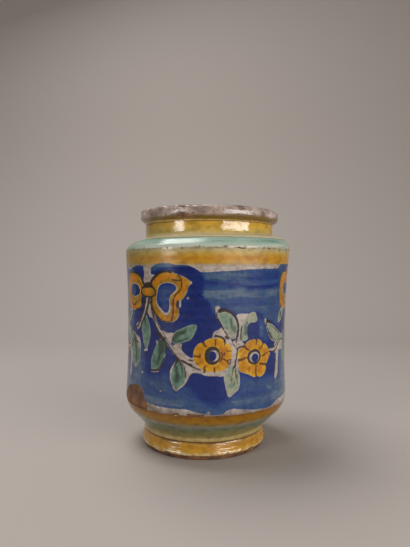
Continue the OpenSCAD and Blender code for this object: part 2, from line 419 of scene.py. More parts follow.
# The shoulder's coat: a pale copper green over white, banded with the brush.
# Its outer edge is rubbed down to brown in small spots.
band_top_z = heights("upper_band_glaze")[1]

# Copper green in tin glaze: milky and streaked, with white showing through and a softer gloss
def shoulder_colour(tree, place):
    strokes = stretched(tree, place, 30, 3.0, 4.0)
    colour = add(tree, "ValToRGB", {"Fac": strokes}, stops=[
        (0.3, "#638678"), (0.46, "#7f9b8e"), (0.6, "#96aa9c"), (0.78, "#b1baad")])
    height = wavering(tree, place, [strokes], 4)
    colour = laid_over(tree, colour, "#b3b1a6", height,
                       (band_top_z + 5.8) * MM, (band_top_z + 2.2) * MM, 0.75)
    # Painted shade: darker green towards the jar's left edge, away from the brighter lamp
    colour = shaded_left(tree, place, colour, -38, -62, 0.6, "#5d7c6d")
    colour = ringed(tree, place, colour, neck_z, 2.2, 0.4, "#cdc3a4", 0.4)
    return ringed(tree, place, colour, neck_z - 2.4, 0.25, 0.25, "#7f7f66", 0.4)

def turn_worn(tree, place):
    """Bare clay in small spots along the turn from the shoulder to the wall"""
    rub = stretched(tree, place, 3.2, 1.4, 4.0)
    height = add(tree, "SeparateXYZ", {"Vector": place}, "Z")
    gap = level_gap(tree, height, band_top_z - 0.3)
    near = add(tree, "MapRange", {"Value": gap, "From Min": 2.4 * MM, "From Max": 0.4 * MM})
    both = add(tree, "Math", {0: near, 1: 0.26, 2: rub}, operation="MULTIPLY_ADD")
    return add(tree, "MapRange", {"Value": both, "From Min": 0.8, "From Max": 0.88})

shoulder, _ = coat("shoulder_glaze_banded", rising(band_top_z), rising(neck_z),
                   pitch=0.5, back_pitch=2, steps=360)
shoulder.data.materials.append(
    glazed("copper green tin glaze", shoulder_colour, (0.14, 0.32), turn_worn, ripple=0.4))
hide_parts("shoulder_glaze")
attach(shoulder, "root")

# The picture field: white tin glaze, painted before its firing with a garland of bows, leaves and flowers.
# Cobalt fills the ground round them in broad strokes, and manganese brown draws the lines. Low on the wall
# the glaze has flaked off the clay. Places on the wall are (millimetres round from the front, height).
field_z, field_top_z = heights("lower_band_glaze")[1], heights("upper_band_glaze")[0]
wall_round_r = 65.5
girth = 2 * math.pi * wall_round_r
first_knot = -48

# Paint is measured this far from its marks, in millimetres
far = 6.0

# The three bows: where each one's knot is, and how much the garland to its right is stretched
bows = [(first_knot, 1.0), (98.5, 0.9), (231, 0.956)]

# Each bow's loops by their outer edge and the hole in them, and its knot
right_loop = [
    (-44.3, 120.5), (-44.2, 118), (-43.7, 115.5), (-42.6, 112.2), (-40, 108.5), (-37, 106), (-34, 104.3),
    (-30.5, 103.5), (-27.5, 103.5), (-24.5, 104.3), (-22.3, 105.8), (-21, 108), (-20.5, 110.8),
    (-21, 113), (-22.2, 115.8), (-21.7, 118), (-19, 119.7), (-16.5, 122), (-14.6, 126), (-13.3, 129.7),
    (-11.8, 132), (-14, 134.2), (-17, 136), (-22.5, 138), (-26, 139.5), (-30, 140.1), (-33.5, 139.7),
    (-37, 138.5), (-40.3, 136.3), (-43, 133.5), (-44.8, 130.3),
]
right_hole = [
    (-37.3, 128), (-36, 129.8), (-34, 131), (-31, 131.7), (-28, 131.8), (-25, 131), (-23.2, 129.8),
    (-22.5, 128), (-23.2, 126.2), (-25, 124.7), (-26.8, 123.2), (-27.8, 121.5), (-28.1, 119.5),
    (-28, 117), (-28, 114.5), (-28.5, 112), (-29.5, 110.5), (-31, 110.1), (-32.5, 111), (-34.5, 112.5),
    (-36.5, 114.5), (-38, 116.5), (-38.8, 118.5), (-38.9, 121), (-38.2, 124.5),
]
left_loop = [
    (-52.3, 130.5), (-55, 135), (-58, 137.5), (-62, 139), (-69, 139.8), (-76, 138.5), (-79.8, 133),
    (-80.3, 126), (-79.5, 118), (-76, 112.5), (-70, 110.9), (-63, 110.8), (-57.5, 112), (-55.3, 114.2),
    (-54.7, 117), (-55.2, 120.5),
]
left_hole = [
    (-72.5, 126.5), (-70, 130), (-65, 130.8), (-60, 129.5), (-57.3, 126.5), (-58.5, 123), (-65, 121.2),
    (-70, 122),
]
knot = [
    (-56, 125), (-54.8, 127.5), (-52.5, 129), (-48, 129.3), (-43, 129), (-40.5, 127.3), (-39.4, 125),
    (-40.4, 122.7), (-43, 121), (-48, 120.6), (-52.5, 121.1), (-55, 122.7),
]

# The deeper orange of the bow's turned flap and of the tops of its loops
bow_folds = [
    [(-19.8, 135.5), (-18.4, 130.5), (-20.6, 125), (-24, 121), (-24.6, 116), (-24.2, 110), (-25, 106.5),
     (-23.4, 109), (-22.6, 113), (-23, 116), (-21, 120), (-17, 125.5), (-15.2, 130.5), (-17, 134.2)],
    [(-37, 110), (-34, 108), (-30, 106.6), (-26.6, 106.4), (-27, 104.8), (-31, 104.8), (-35.5, 106.5)],
    [(-77.5, 120), (-73, 116), (-66, 114), (-58.5, 115.5), (-57.5, 113.6), (-64, 112), (-71, 112.6),
     (-76.5, 116)],
    [(-42.5, 130), (-40, 134), (-35, 137.5), (-29, 138.6), (-24, 137), (-23, 135), (-28, 135.6),
     (-34, 134), (-38, 131)],
    [(-56, 131), (-60, 135.5), (-68, 137.5), (-75, 135), (-77.5, 128), (-76, 127), (-72, 132.5),
     (-65, 133.5), (-58, 130)],
    [(-51, 125), (-48, 127), (-44, 125), (-48, 122.8)],
]

# Leaves: their edge, how pale the green is from 0 to 1, and the width of the white left round them
leaves = [
    ([(-26, 90), (-25, 93.5), (-23, 97), (-19, 99), (-15, 100.8), (-11, 102.2), (-7.2, 101.8), (-7.5, 99),
      (-9.2, 95), (-11.5, 91.5), (-15, 90.2), (-19, 88.8), (-22.5, 88)], 0.42, -0.1),
    ([(-36.8, 90), (-38.2, 87.5), (-40, 84.5), (-42, 80.5), (-43.5, 76.5), (-43.8, 73), (-43.5, 68.3),
      (-40, 68.6), (-36.5, 69), (-35, 71), (-33, 74), (-31.8, 77.5), (-30.9, 80.5), (-30.5, 84),
      (-30.3, 89), (-32.5, 91.5)], 0.32, 0.0),
    ([(-21.3, 75.8), (-23.5, 73), (-25, 71), (-26, 68), (-26.3, 65), (-25.5, 62), (-24, 58.5),
      (-22.3, 55.3), (-20, 57), (-17.5, 59), (-16, 60.5), (-14.7, 65), (-14.9, 69), (-16, 72),
      (-18.5, 75)], 0.4, 0.9),
    ([(-49.8, 107.5), (-52, 104.5), (-54, 101.5), (-54.7, 98.5), (-54.3, 95), (-53.3, 90), (-52, 85.5),
      (-49.8, 82.8), (-47.5, 85.5), (-46, 90), (-45, 93.5), (-45.4, 97.5), (-46.7, 101.5), (-48.3, 105)],
     0.4, 0.2),
    ([(-67, 93.5), (-63.5, 91.5), (-60.5, 87.5), (-57.6, 83), (-57, 78), (-58.5, 73), (-63.5, 67),
      (-68, 70), (-71, 76), (-71.5, 83), (-70, 89)], 0.5, 0.2),
    ([(-71, 111.5), (-74.5, 111), (-78.5, 107), (-79.5, 101.5), (-75, 103), (-71.5, 107)], 0.6, 0.7),
    ([(8.5, 109.5), (10, 111), (13, 111.4), (17, 110), (20.5, 106.5), (22.3, 102), (22.6, 98), (21.8, 94),
      (20.6, 92), (18.5, 93), (15.5, 96), (13, 99.5), (11, 103), (9, 106.5)], 0.68, 0.3),
    ([(26.5, 91), (26, 95), (26.5, 99), (28, 103), (29.5, 106), (32, 109), (35.5, 110.2), (38, 109.8),
      (39.3, 107.5), (40, 104.3), (38, 103), (34.5, 103), (32.5, 102), (31.1, 100), (30.8, 97),
      (31.1, 94), (32, 91.5), (29, 90)], 0.78, 0.0),
    ([(20, 73), (23.5, 69), (24.8, 64), (24.6, 58.5), (23.5, 55.5), (20.5, 53.5), (17, 51), (15.3, 54.5),
      (14, 60.5), (13.3, 66), (16, 70.5)], 0.88, 0.4),
    ([(49.5, 100.5), (53, 101), (57, 99.8), (61, 97.5), (66, 94.5), (72, 91.5), (76, 88), (68, 86.5),
      (61, 86.8), (57, 88.5), (53.5, 92), (51.5, 96)], 0.8, 0.3),
]

# Dark green laid into the leaves: points, and half the brush mark's width at each end
leaf_shades = [
    ([(-24.5, 92), (-21, 95.3), (-16, 97)], 2.3, 1.2),
    ([(-23.5, 89.8), (-18.5, 90.6), (-14, 92.2)], 0.9, 0.5),
    ([(-34.5, 91), (-34, 86), (-35.2, 81)], 3.6, 2.0), ([(-35.5, 81), (-36.5, 77), (-38, 73)], 1.7, 0.5),
    ([(-22, 72), (-21.5, 66.5), (-21.8, 62.5)], 1.0, 1.9), ([(-51.8, 105), (-50.5, 101)], 1.2, 0.4),
    ([(-66, 90), (-63, 82), (-63, 72)], 2.0, 1.0),
    ([(17.9, 105.8), (18.2, 101.8), (19.6, 97.8)], 0.95, 0.4), ([(21, 99.5), (21, 96)], 1.0, 0.6),
    ([(31, 103.5), (29.8, 99), (30.2, 94.5)], 0.4, 0.8), ([(32.2, 93.4), (33.2, 92)], 0.8, 0.6),
    ([(22.8, 66), (23.2, 60)], 0.6, 0.4), ([(54.5, 93.5), (57, 90.5), (60, 88)], 1.0, 0.7),
    ([(-76.5, 108), (-75, 104)], 1.0, 0.5),
]

# Flowers: their edge, then middle and half sizes of the dark ring, of the white in it and of its blue eye
flowers = [
    ([(19, 81.5), (18.6, 84), (18, 86.6), (16, 88.6), (13.8, 89.2), (13, 91), (11, 92.2), (8, 92.8),
      (6.2, 92.1), (5, 92.6), (2.5, 92.4), (-0.5, 91), (-1.9, 88.7), (-3, 89.4), (-5.5, 88.6), (-8, 86),
      (-9.1, 83), (-9.3, 79), (-8.5, 76), (-6, 73), (-3, 70.6), (-1, 69.5), (0.5, 69.4), (3.5, 68.9),
      (5.8, 69.5), (7.5, 68.8), (10, 69.3), (13, 70.3), (15.5, 72), (17, 74.5), (17.6, 76.9), (18.8, 79)],
     ((4.5, 80.4), 5.9, 6.6), ((5.3, 80.2), 3.9, 4.0), ((4.3, 80), 3.0, 3.5)),
    ([(23.2, 80), (24.2, 83), (27, 85.2), (29.6, 85.2), (30, 87), (31.5, 89), (35, 90.2), (38, 90.2),
      (39.6, 89.4), (41.5, 90.2), (44, 88.8), (46.2, 86.4), (48.5, 86.2), (51, 84.2), (52.6, 82),
      (54, 79.6), (54.8, 78), (53, 75.5), (51, 72.6), (49.2, 70.6), (49.6, 68), (48.2, 65), (45.5, 63.2),
      (42.5, 62.8), (40, 63.9), (38, 63.2), (35, 64.3), (32, 65.9), (29, 66.9), (26, 68), (24.4, 70.5),
      (23.8, 73.5), (24.4, 76)], ((37.8, 77.7), 6.5, 5.7), ((38, 77.5), 4.6, 3.7),
     ((38.6, 76.9), 3.3, 3.2)),
]

# White left between the strokes, where the ground was never filled in: areas by their edge, and then
# marks by their points and half their width at each end
bare_white = [
    [(-21, 78.5), (-10, 77.5), (-4, 73), (5, 70), (13, 71), (16, 70), (13, 66), (9, 65.7), (5, 66),
     (1, 66), (-2, 66.8), (-6, 68), (-9.5, 68.2), (-11.5, 66.5), (-13.5, 63), (-15.2, 60.3), (-15, 66),
     (-17, 73)],
    [(-24, 87.5), (-18.2, 88.4), (-18.5, 86), (-17.7, 83.5), (-14.8, 80.8), (-11.5, 78.8), (-9, 78),
     (-9, 75), (-16, 76), (-21, 79), (-25, 83.5)],
    [(-33, 97), (-29, 95.8), (-23.5, 95.8), (-24.5, 92.5), (-26, 90), (-27, 88), (-30, 91.3)],
    [(-47, 119), (-44, 112), (-42.5, 107), (-45.5, 106), (-47.5, 109), (-48.5, 112)],
    [(4.6, 92), (4.8, 96), (6, 97.6), (8.6, 98.6), (10.5, 100.2), (12, 99), (15, 95), (19, 91), (14, 89),
     (8, 91)],
    [(6.1, 114.8), (8.8, 115.4), (9.6, 112), (9.4, 108), (7.4, 106.5), (6.4, 110)],
    [(22, 108.3), (25, 109.6), (29, 109.3), (32, 109), (28, 103), (26, 98), (26, 92), (28.5, 88),
     (30.5, 86), (25.5, 84), (24.3, 80), (24.5, 75), (24, 69), (20, 71), (15, 66), (13, 68.5), (17.5, 74),
     (18.5, 79), (18, 84), (15, 89.5), (20, 90), (22.5, 92), (24, 97), (24, 103)],
    [(52, 82), (60, 82.5), (61.5, 85.5), (66, 88), (72, 91), (80, 90), (82, 82), (76, 79), (70, 79.5),
     (63.5, 77.5), (60, 79.3), (54, 80)],
    [(63.8, 78), (63.5, 72), (62.4, 66), (61, 61), (61.6, 58.8), (64.4, 59.4), (66.6, 64), (67, 72),
     (68, 79)],
    [(-52, 146), (-51.3, 138), (-52.3, 131), (-44.5, 131), (-40.5, 137), (-43.8, 138.2), (-44.4, 140),
     (-44.6, 144)],
    [(47.8, 105), (50, 104.3), (50, 101), (48.3, 101)],
    [(-20.2, 118.6), (-19.2, 118.8), (-18.9, 116.5), (-19.4, 114.2), (-20.3, 114.5)],
]
white_marks = [
    ([(-45.3, 118), (-44, 112), (-41.6, 106.5), (-38.5, 101), (-35, 96), (-31, 91.3), (-27, 86.5),
      (-22.5, 81), (-17, 77.5), (-10, 74.8), (-4, 72)], 1.5, 1.6),
    ([(-48.8, 119), (-50, 113), (-53, 106.5), (-56.5, 101.5), (-61, 98.5)], 2.0, 2.2),
    # The dot at (-14, 121) is a painted highlight: white put where the glaze shows a glint
    ([(-14, 121), (-13.9, 121)], 0.8, 0.8), ([(-34.6, 53.5), (-34.3, 53.6)], 0.8, 0.6),
    ([(2, 40.2), (2.6, 40)], 1.0, 0.7), ([(-51.5, 81.2), (-48.5, 82)], 0.7, 0.6),
    ([(-12.6, 132), (-12, 132)], 1.2, 1.0), ([(-43.4, 66.6), (-40, 66.8), (-37, 67.4)], 0.5, 0.4),
    ([(-38.8, 89.4), (-38.7, 86.4)], 0.6, 0.4), ([(-38.8, 128.2), (-38.3, 127.6)], 0.8, 0.6),
    ([(-54, 64.5), (-53, 64.6)], 0.7, 0.5),
]

# Manganese brown lines, in the same way as the leaves' dark green
brown_lines = [
    ([(-44.9, 130.5), (-43.2, 133.7), (-40.3, 136.4), (-37, 138.5), (-33.5, 139.8), (-30, 140.1),
      (-26.5, 139.4)], 1.3, 0.75),
    ([(-44, 120), (-43.9, 117), (-43, 113), (-41, 109.7), (-38, 106.9), (-35.5, 105.1), (-32, 103.8),
      (-28, 103.6)], 1, 0.55),
    ([(-21.4, 118.8), (-22.2, 116.5), (-21.6, 113.8)], 0.65, 0.5),
    ([(-52.3, 130.6), (-55, 135), (-58, 137.6), (-62, 139), (-69, 139.7)], 1.1, 0.65),
    ([(-69, 139.7), (-76, 138.5), (-79.8, 133), (-80.3, 126), (-79.5, 118), (-76, 112.5)], 0.65, 0.5),
    ([(-55.2, 120.3), (-54.8, 117), (-55.5, 114.2), (-57.6, 112.2), (-63, 111)], 0.75, 0.6),
    ([(-70, 115.8), (-66.5, 114.2), (-61.5, 117.5)], 0.7, 0.5),
    ([(-51, 129.7), (-47.5, 131), (-44, 129.7)], 1.5, 1.4),
    ([(-50.3, 119.8), (-51.8, 115), (-52.5, 112), (-54.5, 108), (-57, 103.5), (-60, 99.3), (-64, 97)],
     1.1, 0.95),
    ([(-46.9, 119.3), (-47.5, 115), (-49, 112), (-50, 109), (-51.8, 105.5), (-54.5, 102), (-56.5, 98.5)],
     1.2, 0.85),
    ([(-46.2, 119.5), (-45, 116), (-44, 112), (-42.5, 107.5), (-40.2, 101.5), (-37.5, 96.7), (-32, 91),
      (-28, 86.5), (-25, 82.5), (-21, 78), (-16.5, 75.5), (-10, 72.5), (-4, 70.3)], 0.55, 0.5),
    ([(-44.4, 118), (-43.2, 113), (-41.4, 107.5), (-38, 102), (-33.5, 95.8), (-30, 91.3), (-27, 88),
      (-23.8, 84.6)], 0.5, 0.4),
    ([(-37.3, 95), (-35, 93.2), (-32.3, 90.6)], 1.6, 1.3),
    ([(-30.4, 89), (-30.6, 84), (-31.3, 80.3)], 0.7, 0.5),
    ([(-32.5, 76.5), (-34.5, 72.2), (-36.5, 69.5)], 0.6, 0.5),
    ([(-43, 67.6), (-40, 67.9), (-36.8, 68.7)], 0.65, 0.75),
    ([(-22.3, 79), (-21, 77.8), (-19.5, 76.8)], 1.0, 0.7),
    ([(-20, 76.3), (-18.2, 72.5), (-17.4, 69), (-17.4, 66)], 0.55, 0.35),
    ([(-18.8, 75.7), (-16.2, 72.3), (-15.2, 68.5), (-14.8, 64.5)], 0.45, 0.4),
    ([(-21.5, 76), (-23, 73.3), (-23.5, 71.5)], 0.9, 0.55),
    ([(-17.5, 76.6), (-14, 75), (-10.2, 73.6)], 0.65, 0.55), ([(-12.6, 77.2), (-9.8, 76.8)], 0.6, 0.5),
    ([(9.3, 112), (11.5, 112.5), (14.5, 112), (17.5, 110.6)], 1.5, 0.9),
    ([(17.5, 110.6), (20, 108.5), (22.2, 105.3), (23.4, 102), (23.8, 98.5), (23.4, 95), (22.6, 91.5),
      (22.1, 89.3)], 0.9, 0.5),
    ([(7.2, 110.6), (7.3, 107.5), (9.3, 104.2), (11, 101), (13, 97.6), (15.5, 94.6), (18, 92), (20, 88),
      (22, 85.6), (23.4, 83.4)], 0.5, 0.45),
    ([(6.2, 94.2), (8.5, 94), (11, 93.2), (13, 91.7), (13.4, 90)], 0.85, 0.6),
    ([(14.3, 93.5), (15.3, 92.7), (16.5, 92.2)], 1, 0.65),
    ([(26, 91), (25.9, 96), (26.6, 100.5)], 0.55, 0.45),
    ([(28, 85.6), (25.8, 86), (23.5, 84.5), (22.6, 79), (21.6, 74.5)], 0.65, 0.5),
    ([(21.6, 73), (20.6, 71)], 0.9, 0.55), ([(20, 72), (19, 66), (18, 59)], 0.4, 0.2),
    ([(22, 70), (21.8, 64), (20.4, 58)], 0.4, 0.2),
    ([(50.3, 103.3), (53, 102.6), (57, 101.2)], 1.1, 0.55), ([(49.8, 101.5), (49.8, 98.5)], 0.75, 0.5),
    ([(57, 98.8), (63, 95.4), (69, 91.9)], 0.45, 0.45), ([(51.5, 97.5), (53.5, 93), (57, 89)], 0.6, 0.5),
    ([(54, 80), (60, 79.3), (64, 81), (68, 85), (72, 87.3), (80, 86)], 0.6, 0.5),
    ([(54, 83), (60, 82.5), (64, 84.5), (68, 88.5)], 0.6, 0.5),
]

# Rust lines over the yellow: the folds of the bow and the marks between petals
rust_lines = [
    ([(-21.2, 137.5), (-19.4, 135.8), (-18.9, 133.5), (-18.4, 130.5), (-19, 128), (-20.6, 125.5),
      (-22.8, 123.7), (-24.2, 121.5), (-24.9, 119), (-25, 116), (-24.8, 113), (-25, 110), (-25.5, 107),
      (-26.4, 104.5)], 0.58, 0.78),
    ([(-25.8, 134), (-22, 133.7), (-19, 133.4)], 0.5, 0.68),
    ([(-60, 134), (-56, 131), (-54.5, 128)], 0.5, 0.63), ([(-9, 80), (-5.5, 79.6)], 0.73, 0.5),
    ([(-4.7, 81.6), (-4.4, 80.4), (-4.9, 79.2)], 0.5, 0.5),
    ([(-2.3, 89.6), (-1.3, 88), (-0.2, 86.6)], 0.98, 0.53), ([(6.7, 91.6), (6.4, 87.6)], 0.68, 0.5),
    ([(13.2, 91), (13.6, 89.3), (13.2, 87.5)], 0.63, 0.5), ([(15, 83.4), (18.4, 83.2)], 0.5, 0.53),
    ([(13.3, 82), (13.1, 80.8), (13.5, 79.8)], 0.53, 0.5),
    ([(12.4, 77.7), (14.6, 76.6), (16.7, 74)], 0.63, 0.5), ([(14.8, 76.6), (18.5, 77.3)], 0.53, 0.5),
    ([(11, 82.6), (11.7, 80.5), (11.2, 78), (9.6, 75.4)], 0.73, 0.5),
    ([(-1.2, 72.8), (-1.2, 69)], 0.68, 0.83), ([(6, 72), (6, 69)], 0.58, 0.68),
    ([(-7.3, 75.6), (-5.8, 74.2)], 0.5, 0.5), ([(24.3, 76.2), (28, 77), (31.6, 77.9)], 0.98, 0.58),
    ([(28.7, 86.4), (31, 84), (33.4, 82.7)], 1.1, 0.68), ([(39.8, 90), (39.6, 86.4)], 0.78, 0.5),
    ([(47, 86.8), (44.5, 84.3), (42.4, 82.7)], 0.63, 0.5),
    ([(51.4, 79.7), (48.5, 78.6), (45.8, 77.5)], 0.53, 0.68),
    ([(42.8, 72.3), (46, 71.6), (50, 71)], 0.73, 0.98),
    ([(39.4, 71.3), (39.3, 67), (39.6, 63.4)], 0.58, 0.73), ([(33.4, 70.6), (33, 67.3)], 0.5, 0.5),
]

# Where the cobalt is thin: areas by their edge, and strokes over them by their points and half width.
# Each also has how much white shows through, and how softly it ends in millimetres
thin_areas = [
    ([(-2.5, 140), (-1, 134), (-2.5, 129), (-1, 122), (2.5, 117), (4.5, 110.5), (10, 114.5), (24, 110.2),
      (40, 111), (47, 106), (50, 104), (58, 102), (68, 98), (72, 110), (70, 143), (20, 142)], 0.42, 1.2),
    ([(41, 106), (47.5, 104), (49, 98), (53, 90), (50, 88), (46, 90), (43, 92.5), (42, 100)], 0.38, 2.0),
    ([(-37, 127), (-33, 130), (-27, 130), (-24, 128), (-28, 122), (-29, 113), (-31, 111.5), (-36, 116),
      (-38, 121)], 0.25, 1.5),
    ([(-56, 66), (-46, 62), (-37, 64), (-30, 66), (-27, 60), (-23, 54.5), (-16, 57.5), (-10, 55),
      (-6, 48), (-6, 38), (-56, 38)], 0.42, 3.0),
    ([(-9, 48), (0, 46), (8, 45), (14, 47), (16, 37), (-9, 37)], 0.5, 3.0),
    ([(17, 50), (25, 54), (26, 65), (34, 62), (40, 61), (50, 62), (58, 60), (62, 52), (64, 37), (15, 37)],
     0.42, 2.5),
    ([(60, 56), (86, 50), (86, 40), (60, 38)], 0.6, 3.0),
    # This area is partly a thin wash and partly painted sheen: pale blue along the jar's right-hand edge as
    # it turns away
    ([(71, 80), (84, 81), (84, 44), (66, 44), (70, 60)], 0.75, 4.0),
]
thin_strokes = [
    ([(1, 136), (14, 136), (28, 136.8)], 2.8, 0.64, 1.5),
    ([(0, 124), (12, 124), (26, 124.6)], 3.0, 0.85, 1.2),
    ([(28, 123), (44, 122.8), (61, 124)], 2.8, 0.72, 1.5),
    ([(14, 116.5), (30, 116.8), (46, 117)], 1.5, 0.25, 1.8),
    ([(22, 113), (34, 112.6), (50, 113)], 1.4, 0.62, 1.6),
    ([(0, 132.2), (14, 131), (31, 128.9), (48, 128.4), (64, 129.6)], 1.6, 0.08, 1.2),
    ([(34, 135.5), (48, 136), (63, 137)], 3.2, 0.2, 1.5), ([(14, 119.6), (34, 119.3)], 0.7, 0.25, 1.2),
    ([(-58, 63), (-44, 56), (-28, 51)], 2.5, 0.68, 2.5),
    ([(-50, 48), (-35, 47.5), (-15, 47.5)], 2.0, 0.7, 2.0),
    ([(-50, 58), (-38, 52.5), (-24, 50.5)], 1.2, 0.2, 2.0),
    ([(20, 47), (40, 45.5), (60, 47)], 2.2, 0.7, 2.0), ([(28, 51.5), (45, 51), (60, 53)], 1.5, 0.2, 2.0),
    ([(52, 54), (58, 52)], 1.2, 0.75, 1.5), ([(44.6, 99), (44.6, 93)], 0.8, 0.85, 1.0),
    ([(-43, 141.5), (-36, 143.5), (-28, 144)], 1.6, 0.45, 1.5),
    ([(-48, 46.6), (-35, 45.4), (-18, 45.6)], 1.3, 0.95, 1.6),
    ([(64, 62), (63, 54), (60, 46)], 1.6, 0.85, 2.0),
]

# The upper and lower edge of the blue, from one bow to the next
blue_top = [
    (-82, 144.8), (-60, 145), (-53, 144.4), (-44.6, 142), (-43, 143.2), (-40, 145), (-36, 146),
    (-32, 146.4), (-28, 146), (-24, 144.8), (-16, 144.6), (-13, 144), (-10, 142.8), (-7, 141),
    (-5, 139.6), (0, 139.3), (24, 140.6), (40, 141.4), (62, 141.5),
]
blue_low = [
    (-82, 42), (-49, 43.8), (-38, 42.3), (-26.5, 42), (-15.5, 42.4), (-10, 41.4), (-2, 39.5), (6.5, 38.4),
    (13, 39.2), (14.5, 41.3), (20, 42.3), (29, 40.8), (35.5, 39.8), (45.5, 39), (51, 38.5), (58, 40),
    (62, 41.2),
]

# Where glaze has flaked off along the bottom: the edge of a large flake, and small ones as lines
large_flake = [
    (-84, 44), (-80, 48.5), (-72, 52), (-62, 54), (-55, 52.5), (-51.5, 48), (-49, 43.5), (-46.3, 41),
    (-47.5, 38), (-52, 36.4), (-65, 36), (-80, 36), (-86, 40),
]
small_flakes = [
    ([(-24, 38), (-20, 38.6)], 0.9, 0.6), ([(-12.5, 38.4), (-7, 37.9), (-1.5, 38.4)], 1.2, 0.6),
    ([(7, 37.5), (15, 37.8)], 0.6, 0.3), ([(-41, 38), (-37, 38.1)], 0.5, 0.4),
    ([(25, 37.5), (35, 37.7)], 0.4, 0.3), ([(112, 38), (123, 38.6)], 1.0, 0.4),
    ([(160, 37.6), (168, 38.2)], 0.6, 0.5), ([(-140, 39.4), (-132, 38)], 0.9, 0.5),
    ([(201, 38), (203, 38.5)], 1.3, 1.1), ([(-118, 37.6), (-108, 37.8)], 0.4, 0.4),
]

# White left bare round the bows and flowers, in millimetres
bare_edge = 0.2

def flowing(points, closed=False):
    """A line through points, as a loaded brush would draw it"""
    through = [Vector(p) for p in points]
    ends = through[-1:] + through + through[:2] if closed else through[:1] + through + through[-1:]
    line = []
    for a, b, c, d in zip(ends, ends[1:], ends[2:], ends[3:]):
        line += interpolate_bezier(b, b + (c - a) / 6, c - (d - b) / 6, c, 6)[:-1]
    return np.array([tuple(p) for p in line] + [tuple(ends[-2])])

def apart(spots, line, half=(0, 0), filled=False):
    """How far spots are from a brush mark along a line, or from the area inside a closed line, less than 0
    within it"""
    middle = (line.min(0) + line.max(0)) / 2
    off = spots - middle
    off[:, 0] = (off[:, 0] + girth / 2) % girth - girth / 2
    near = np.flatnonzero((abs(off) < (line.max(0) - line.min(0)) / 2 + far).all(1))
    gap = np.full(len(spots), far)
    here, best, inside = off[near], gap[near], np.zeros(len(near), bool)
    halves = np.linspace(*half, len(line))
    for a, b, half_a, half_b in zip(line - middle, line[1:] - middle, halves, halves[1:]):
        step = b - a
        along = np.clip((here - a) @ step / max(step @ step, 1e-9), 0, 1)
        from_line = np.hypot(*(here - a - along[:, None] * step).T)
        best = np.minimum(best, from_line - half_a - along * (half_b - half_a))
        if filled:
            level = (a[1] > here[:, 1]) != (b[1] > here[:, 1])
            inside ^= level & (here[:, 0] < a[0] + (here[:, 1] - a[1]) * step[0] / (step[1] or 1e-9))
    gap[near] = np.where(inside, -best, best)
    return gap

def oval(middle, wide, high):
    """The edge of a round brush mark"""
    turn = np.linspace(0, 2 * math.pi, 33)
    return np.array(middle) + np.stack([wide * np.cos(turn), high * np.sin(turn)], 1)

def flaked(spots):
    """How far spots are from bare clay"""
    gaps = [apart(spots, flowing(large_flake, True), filled=True)]
    gaps += [apart(spots, flowing(points), (start, end)) for points, start, end in small_flakes]
    return np.min(gaps, 0)

def hung(points, bow_at, stretch):
    """Points drawn for the first bow, moved to another one and stretched along the garland to its right"""
    return [(bow_at + (s - first_knot) * (stretch if s > first_knot else 1), z) for s, z in points]

def garland(spots, *bow):
    """One bow and the leaves and flowers to its right: how far spots are from each paint, how pale the
    leaves are and how thin the blue is"""
    paint = defaultdict(list)

    def area(points):
        return apart(spots, flowing(hung(points, *bow), True), filled=True)

    def mark(points, start, end, where=spots):
        return apart(where, flowing(hung(points, *bow)), (start, end))

    for loop, hole in ((right_loop, right_hole), (left_loop, left_hole)):
        edge, blue = area(loop), area(hole)
        white_round_hole = 0.5 + np.clip((119 - spots[:, 1]) / 7, 0, 1)
        paint["ribbon"].append(np.maximum(edge, white_round_hole - blue))
        paint["white"].append(edge - bare_edge)
        paint["eye"].append(blue)
    bow_knot = area(knot)
    paint["ribbon"].append(bow_knot)
    paint["fold"] += [area(points) for points in bow_folds]
    paint["white"].append(bow_knot)
    paint["brown"].append(abs(bow_knot + 0.6) - 0.75)
    nearest, tone = np.full(len(spots), far), np.zeros(len(spots))
    for points, pale, margin in leaves:
        edge = area(points)
        tone = np.where(edge < nearest, pale, tone)
        nearest = np.minimum(nearest, edge)
        paint["white"].append(edge - margin)
    paint["leaf"].append(nearest)
    for points, *rounds in flowers:
        edge = area(points)
        ring, white, blue = [
            apart(spots, oval(*hung([middle], *bow), wide, high), filled=True)
            for middle, wide, high in rounds]
        paint["yellow"].append(np.maximum(edge, -0.4 - ring))
        paint["orange"].append(np.maximum(edge + 2.8, 1.2 - ring))
        paint["white"].append(edge - bare_edge)
        paint["brown"].append(np.maximum(ring, -white))
        paint["eye"].append(blue)
    paint["white"] += [area(points) for points in bare_white] + [mark(*row) for row in white_marks]
    paint["dark_leaf"] += [mark(*row) for row in leaf_shades]
    paint["brown"] += [mark(*row) for row in brown_lines]
    paint["rust"] += [mark(*row) for row in rust_lines]

    # Bristles leave the ends of the thin strokes uneven
    bristles = 0.6 * np.sin(2.3 * spots[:, 1]) + 0.4 * np.sin(5.1 * spots[:, 1] + 1)
    combed = spots + np.stack([bristles, np.zeros(len(spots))], 1)
    washes = [(area(points), clear, soft) for points, clear, soft in thin_areas]
    washes += [
        (mark(points, half, half, combed), clear, soft) for points, half, clear, soft in thin_strokes]
    thin = np.zeros(len(spots))
    for gap, clear, soft in washes:
        thin += (clear - thin) * np.clip(0.5 - gap / (2 * soft), 0, 1)
    return {name: np.min(gaps, 0) for name, gaps in paint.items()}, tone, thin

def blue_edge(spots, edge):
    """The height of an edge of the blue above or below each spot"""
    round_at, height = np.transpose([point for bow in bows for point in hung(edge, *bow)])
    return np.interp(spots[:, 0], round_at, height, period=girth)

def wall_spots(true):
    """Places on the wall of points of the true jar"""
    return np.stack([wall_round_r * polar(true)[0], true[:, 2]], 1)

